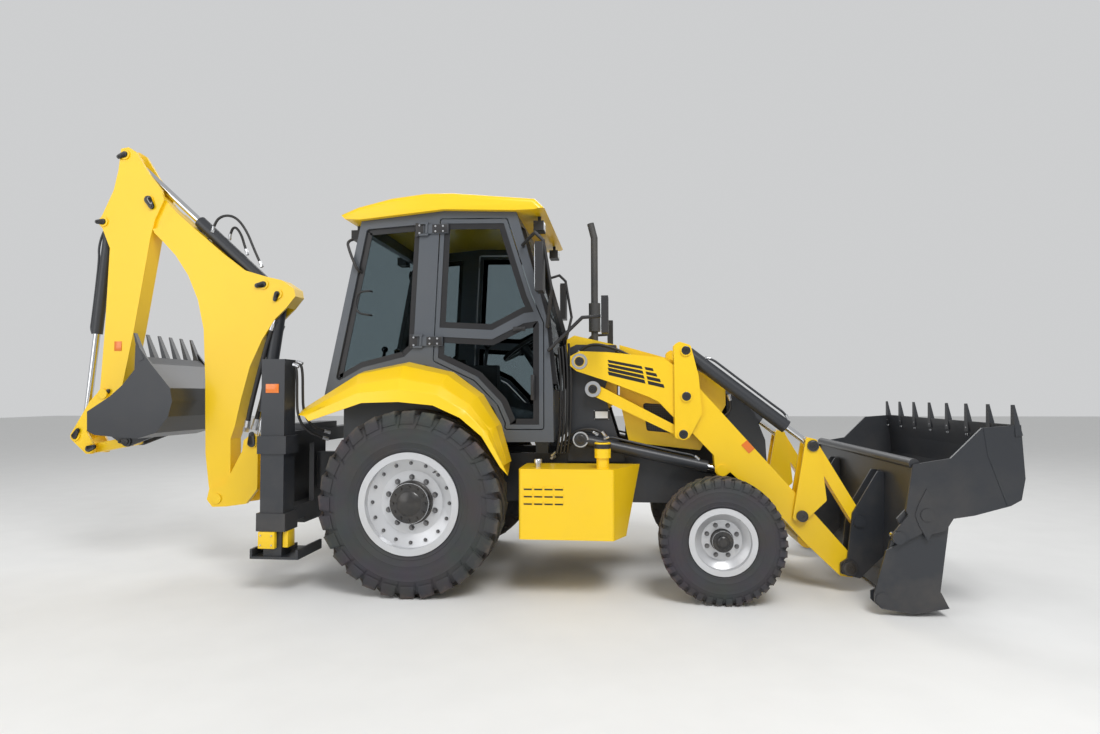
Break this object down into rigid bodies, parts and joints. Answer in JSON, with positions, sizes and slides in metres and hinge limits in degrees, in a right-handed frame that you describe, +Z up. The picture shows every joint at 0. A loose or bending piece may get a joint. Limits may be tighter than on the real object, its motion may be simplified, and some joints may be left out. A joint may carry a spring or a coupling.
{
  "type": "backhoe loader",
  "caption": "Wheeled backhoe loader: front loader arms with an opening bucket, cab, and a rear digging arm on a side-shift frame with sliding stabilizers.",
  "frame": {"origin": "middle of the footprint on the ground", "axes": "+X forward towards the loader bucket, +Y to the operator's left, +Z up"},
  "size_m": [7.363, 2.264, 3.65],
  "materials": {
    "yellow_paint": "satin",
    "charcoal_paint": "satin",
    "rod_chrome": "polished",
    "pin_steel": "turned",
    "cab_grey": "satin",
    "window_glass": "clear",
    "seat_fabric": "woven",
    "black_plastic": "grained",
    "engine_iron": "cast",
    "tyre_rubber": "moulded",
    "rim_white": "gloss",
    "yellow_moulding": "grained"
  },
  "bodies": {
    "chassis": {"chassis_frame": "charcoal_paint", "rear_frame": "charcoal_paint", "engine": "engine_iron", "axles": "charcoal_paint", "cowl": "yellow_paint", "nose": "charcoal_paint", "cab_frame": "cab_grey", "cab_roof": "yellow_moulding", "cab_glass": "window_glass", "seat": "seat_fabric", "controls": "black_plastic", "fenders": "yellow_paint", "side_tanks": "yellow_moulding", "mirrors_and_lamps": "black_plastic"},
    "hood": {"hood": "yellow_paint"},
    "door_right": {"door_right": "cab_grey", "door_glass_right": "window_glass"},
    "knuckle_right": {"knuckle_right": "charcoal_paint"},
    "front_wheel_right": {"front_tyre_right": "tyre_rubber", "front_rim_right": "rim_white"},
    "rear_wheel_right": {"rear_tyre_right": "tyre_rubber", "rear_rim_right": "rim_white"},
    "stabilizer_right": {"stabilizer_right": "charcoal_paint"},
    "door_left": {"door_left": "cab_grey", "door_glass_left": "window_glass"},
    "knuckle_left": {"knuckle_left": "charcoal_paint"},
    "front_wheel_left": {"front_tyre_left": "tyre_rubber", "front_rim_left": "rim_white"},
    "rear_wheel_left": {"rear_tyre_left": "tyre_rubber", "rear_rim_left": "rim_white"},
    "stabilizer_left": {"stabilizer_left": "charcoal_paint"},
    "loader_arms": {"loader_arms": "yellow_paint"},
    "levelling_levers": {"levelling_levers": "yellow_paint"},
    "levelling_links": {"levelling_links": "yellow_paint"},
    "lift_barrels": {"lift_barrels": "charcoal_paint"},
    "lift_rods": {"lift_rods": "rod_chrome"},
    "tilt_barrels": {"tilt_barrels": "charcoal_paint"},
    "tilt_rods": {"tilt_rods": "rod_chrome"},
    "crank_pins": {"crank_pins": "pin_steel"},
    "bell_cranks": {"bell_cranks": "yellow_paint"},
    "link_pins": {"link_pins": "pin_steel"},
    "front_links": {"front_links": "yellow_paint"},
    "bucket_pins": {"bucket_pins": "pin_steel"},
    "loader_bucket": {"loader_bucket": "charcoal_paint"},
    "bucket_jaw": {"bucket_jaw": "charcoal_paint"},
    "jaw_barrels": {"jaw_barrels": "charcoal_paint"},
    "jaw_rods": {"jaw_rods": "rod_chrome"},
    "carriage": {"carriage": "charcoal_paint"},
    "kingpost": {"kingpost": "yellow_paint"},
    "boom": {"boom": "yellow_paint"},
    "boom_barrel": {"boom_barrel": "charcoal_paint"},
    "boom_rod": {"boom_rod": "rod_chrome"},
    "dipper": {"dipper": "yellow_paint"},
    "dipper_barrel": {"dipper_barrel": "charcoal_paint"},
    "dipper_rod": {"dipper_rod": "rod_chrome"},
    "hoe_ram_barrel": {"hoe_ram_barrel": "charcoal_paint"},
    "hoe_ram_rod": {"hoe_ram_rod": "rod_chrome"},
    "tipping_lever": {"tipping_lever": "yellow_paint"},
    "tipping_link": {"tipping_link": "yellow_paint"},
    "hoe_bucket": {"hoe_bucket": "charcoal_paint"}
  },
  "joints": [
    {"name": "rear_wheel_right_spin", "type": "hinge", "parent": "chassis", "child": "rear_wheel_right", "pos_m": [-0.4545, -0.8935, 0.68], "axis": [0, 1, 0], "continuous": true},
    {"name": "front_wheel_right_spin", "type": "hinge", "parent": "knuckle_right", "child": "front_wheel_right", "pos_m": [1.7785, -0.89, 0.44], "axis": [0, 1, 0], "continuous": true},
    {"name": "rear_wheel_left_spin", "type": "hinge", "parent": "chassis", "child": "rear_wheel_left", "pos_m": [-0.4545, 0.8935, 0.68], "axis": [0, 1, 0], "continuous": true},
    {"name": "front_wheel_left_spin", "type": "hinge", "parent": "knuckle_left", "child": "front_wheel_left", "pos_m": [1.7785, 0.89, 0.44], "axis": [0, 1, 0], "continuous": true},
    {"name": "steering", "type": "hinge", "parent": "chassis", "child": "knuckle_right", "pos_m": [1.7785, -0.745, 0.44], "axis": [0, 0, 1], "range_deg": [-30, 30]},
    {"name": "steering_left", "type": "hinge", "parent": "chassis", "child": "knuckle_left", "pos_m": [1.7785, 0.745, 0.44], "axis": [0, 0, 1], "range_deg": [-32, 32]},
    {"name": "door_right_hinge", "type": "hinge", "parent": "chassis", "child": "door_right", "pos_m": [-0.4525, -0.764, 1.88], "axis": [-0.0494, 0, -0.9988], "range_deg": [0, 80]},
    {"name": "door_left_hinge", "type": "hinge", "parent": "chassis", "child": "door_left", "pos_m": [-0.4525, 0.764, 1.88], "axis": [0.0494, 0, 0.9988], "range_deg": [0, 80]},
    {"name": "hood_hinge", "type": "hinge", "parent": "chassis", "child": "hood", "pos_m": [1.1455, 0, 1.807], "axis": [0, -1, 0], "range_deg": [0, 55]},
    {"name": "loader_lift", "type": "hinge", "parent": "chassis", "child": "loader_arms", "pos_m": [0.7575, 0, 1.723], "axis": [0, -1, 0], "range_deg": [-1.5, 78]},
    {"name": "lift_barrel_swing", "type": "hinge", "parent": "chassis", "child": "lift_barrels", "pos_m": [0.7625, 0, 1.118], "axis": [0, -1, 0], "range_deg": [-2.04, 69.92]},
    {"name": "lift_rod_stroke", "type": "slide", "parent": "lift_barrels", "child": "lift_rods", "axis": [0.9785, 0, -0.2065], "range_m": [-0.01732, 0.7477]},
    {"name": "levelling_lever_swing", "type": "hinge", "parent": "loader_arms", "child": "levelling_levers", "pos_m": [1.5695, 0, 1.451], "axis": [0, -1, 0], "range_deg": [-52.8, 1.54]},
    {"name": "levelling_link_swing", "type": "hinge", "parent": "chassis", "child": "levelling_links", "pos_m": [0.8595, 0, 1.508], "axis": [0, -1, 0], "range_deg": [-2.49, 85.62]},
    {"name": "tilt_barrel_swing", "type": "hinge", "parent": "levelling_levers", "child": "tilt_barrels", "pos_m": [1.5695, 0, 1.799], "axis": [0, -1, 0], "range_deg": [-1.45, 49.77]},
    {"name": "crank_pin_turn", "type": "hinge", "parent": "loader_arms", "child": "crank_pins", "pos_m": [2.4035, 0, 0.564], "axis": [0, -1, 0], "range_deg": [-33.5, 0.78]},
    {"name": "bucket_pin_turn", "type": "hinge", "parent": "loader_arms", "child": "bucket_pins", "pos_m": [2.7325, 0, 0.192], "axis": [0, -1, 0], "range_deg": [-42.38, 0.95]},
    {"name": "link_pin_turn", "type": "hinge", "parent": "bell_cranks", "child": "link_pins", "pos_m": [2.4895, 0, 1.083], "axis": [0, -1, 0], "range_deg": [-0.63, 25.34]},
    {"name": "bucket_tilt", "type": "hinge", "parent": "bucket_pins", "child": "loader_bucket", "pos_m": [2.7325, 0, 0.192], "axis": [0, -1, 0], "range_deg": [-60, 30]},
    {"name": "bell_crank_swing", "type": "hinge", "parent": "crank_pins", "child": "bell_cranks", "pos_m": [2.4035, 0, 0.564], "axis": [0, -1, 0], "range_deg": [-37.47, 19.01]},
    {"name": "tilt_rod_stroke", "type": "slide", "parent": "tilt_barrels", "child": "tilt_rods", "axis": [0.7892, 0, -0.6142], "range_m": [-0.15503, 0.30706]},
    {"name": "front_link_swing", "type": "hinge", "parent": "link_pins", "child": "front_links", "pos_m": [2.4895, 0, 1.083], "axis": [0, -1, 0], "range_deg": [-15.84, 31.17]},
    {"name": "jaw", "type": "hinge", "parent": "loader_bucket", "child": "bucket_jaw", "pos_m": [3.0705, 0, 0.672], "axis": [0, 1, 0], "range_deg": [0, 86]},
    {"name": "jaw_barrel_swing", "type": "hinge", "parent": "loader_bucket", "child": "jaw_barrels", "pos_m": [2.7885, 0, 0.112], "axis": [0, -1, 0], "range_deg": [-0.5, 9.31]},
    {"name": "jaw_rod_stroke", "type": "slide", "parent": "jaw_barrels", "child": "jaw_rods", "axis": [0.2425, 0, 0.9701], "range_m": [-0.003, 0.31045]},
    {"name": "carriage_slide", "type": "slide", "parent": "chassis", "child": "carriage", "axis": [0, 1, 0], "range_m": [-0.258, 0.858]},
    {"name": "swing", "type": "hinge", "parent": "carriage", "child": "kingpost", "pos_m": [-1.8845, -0.3, 0.845], "axis": [0, 0, -1], "range_deg": [-80, 80]},
    {"name": "boom", "type": "hinge", "parent": "kingpost", "child": "boom", "pos_m": [-2.3145, -0.3, 0.6], "axis": [0, -1, 0], "range_deg": [0, 110]},
    {"name": "boom_barrel_swing", "type": "hinge", "parent": "boom", "child": "boom_barrel", "pos_m": [-1.8195, -0.3, 2.326], "axis": [0, -1, 0], "range_deg": [-0.5, 9.48]},
    {"name": "boom_rod_stroke", "type": "slide", "parent": "boom_barrel", "child": "boom_rod", "axis": [-0.1454, 0, -0.9894], "range_m": [-0.003, 0.87694]},
    {"name": "dipper", "type": "hinge", "parent": "boom", "child": "dipper", "pos_m": [-3.0145, -0.3, 3.175], "axis": [0, 1, 0], "range_deg": [0, 105]},
    {"name": "dipper_barrel_swing", "type": "hinge", "parent": "boom", "child": "dipper_barrel", "pos_m": [-1.9445, -0.3, 2.412], "axis": [0, -1, 0], "range_deg": [-17.75, 0.5]},
    {"name": "dipper_rod_stroke", "type": "slide", "parent": "dipper_barrel", "child": "dipper_rod", "axis": [-0.7427, 0, 0.6696], "range_m": [-0.6352, 0.003]},
    {"name": "hoe_bucket", "type": "hinge", "parent": "dipper", "child": "hoe_bucket", "pos_m": [-3.3655, -0.3, 1.225], "axis": [0, 1, 0], "range_deg": [0, 150]},
    {"name": "tipping_lever_swing", "type": "hinge", "parent": "dipper", "child": "tipping_lever", "pos_m": [-3.3905, -0.3, 1.484], "axis": [0, -1, 0], "range_deg": [-75.78, 0.75]},
    {"name": "tipping_link_swing", "type": "hinge", "parent": "hoe_bucket", "child": "tipping_link", "pos_m": [-3.1545, -0.3, 1.075], "axis": [0, -1, 0], "range_deg": [-0.82, 83.19]},
    {"name": "hoe_ram_barrel_swing", "type": "hinge", "parent": "dipper", "child": "hoe_ram_barrel", "pos_m": [-3.4365, -0.3, 2.994], "axis": [0, -1, 0], "range_deg": [-11.77, 0.5]},
    {"name": "hoe_ram_rod_stroke", "type": "slide", "parent": "hoe_ram_barrel", "child": "hoe_ram_rod", "axis": [-0.1076, 0, -0.9942], "range_m": [-0.44146, 0.003]},
    {"name": "stabilizer_right_stroke", "type": "slide", "parent": "chassis", "child": "stabilizer_right", "axis": [0, 0, -1], "range_m": [0, 0.5]},
    {"name": "stabilizer_left_stroke", "type": "slide", "parent": "chassis", "child": "stabilizer_left", "axis": [0, 0, -1], "range_m": [0, 0.5]}
  ],
  "couplings": [
    {"joint": "steering_left", "follows": "steering", "ratio": 1},
    {"joint": "lift_barrel_swing", "follows": "loader_lift", "ratio": 0.88734},
    {"joint": "lift_rod_stroke", "follows": "loader_lift", "m_per_rad": 0.54703},
    {"joint": "levelling_lever_swing", "follows": "loader_lift", "ratio": -0.67013},
    {"joint": "levelling_link_swing", "follows": "loader_lift", "ratio": 1.0866},
    {"joint": "tilt_barrel_swing", "follows": "loader_lift", "ratio": 0.63165},
    {"joint": "crank_pin_turn", "follows": "loader_lift", "ratio": -0.42766},
    {"joint": "bucket_pin_turn", "follows": "loader_lift", "ratio": -0.54149},
    {"joint": "link_pin_turn", "follows": "loader_lift", "ratio": 0.3231},
    {"joint": "bell_crank_swing", "follows": "bucket_tilt", "ratio": 0.61534},
    {"joint": "tilt_rod_stroke", "follows": "bucket_tilt", "m_per_rad": -0.29035},
    {"joint": "front_link_swing", "follows": "bucket_tilt", "ratio": -0.51117},
    {"joint": "jaw_barrel_swing", "follows": "jaw", "ratio": 0.10246},
    {"joint": "jaw_rod_stroke", "follows": "jaw", "m_per_rad": 0.20483},
    {"joint": "boom_barrel_swing", "follows": "boom", "ratio": 0.081626},
    {"joint": "boom_rod_stroke", "follows": "boom", "m_per_rad": 0.45521},
    {"joint": "dipper_barrel_swing", "follows": "dipper", "ratio": -0.16433},
    {"joint": "dipper_rod_stroke", "follows": "dipper", "m_per_rad": -0.34497},
    {"joint": "tipping_lever_swing", "follows": "hoe_bucket", "ratio": -0.50023},
    {"joint": "tipping_link_swing", "follows": "hoe_bucket", "ratio": 0.54909},
    {"joint": "hoe_ram_barrel_swing", "follows": "hoe_bucket", "ratio": -0.075154},
    {"joint": "hoe_ram_rod_stroke", "follows": "hoe_bucket", "m_per_rad": -0.16748}
  ]
}
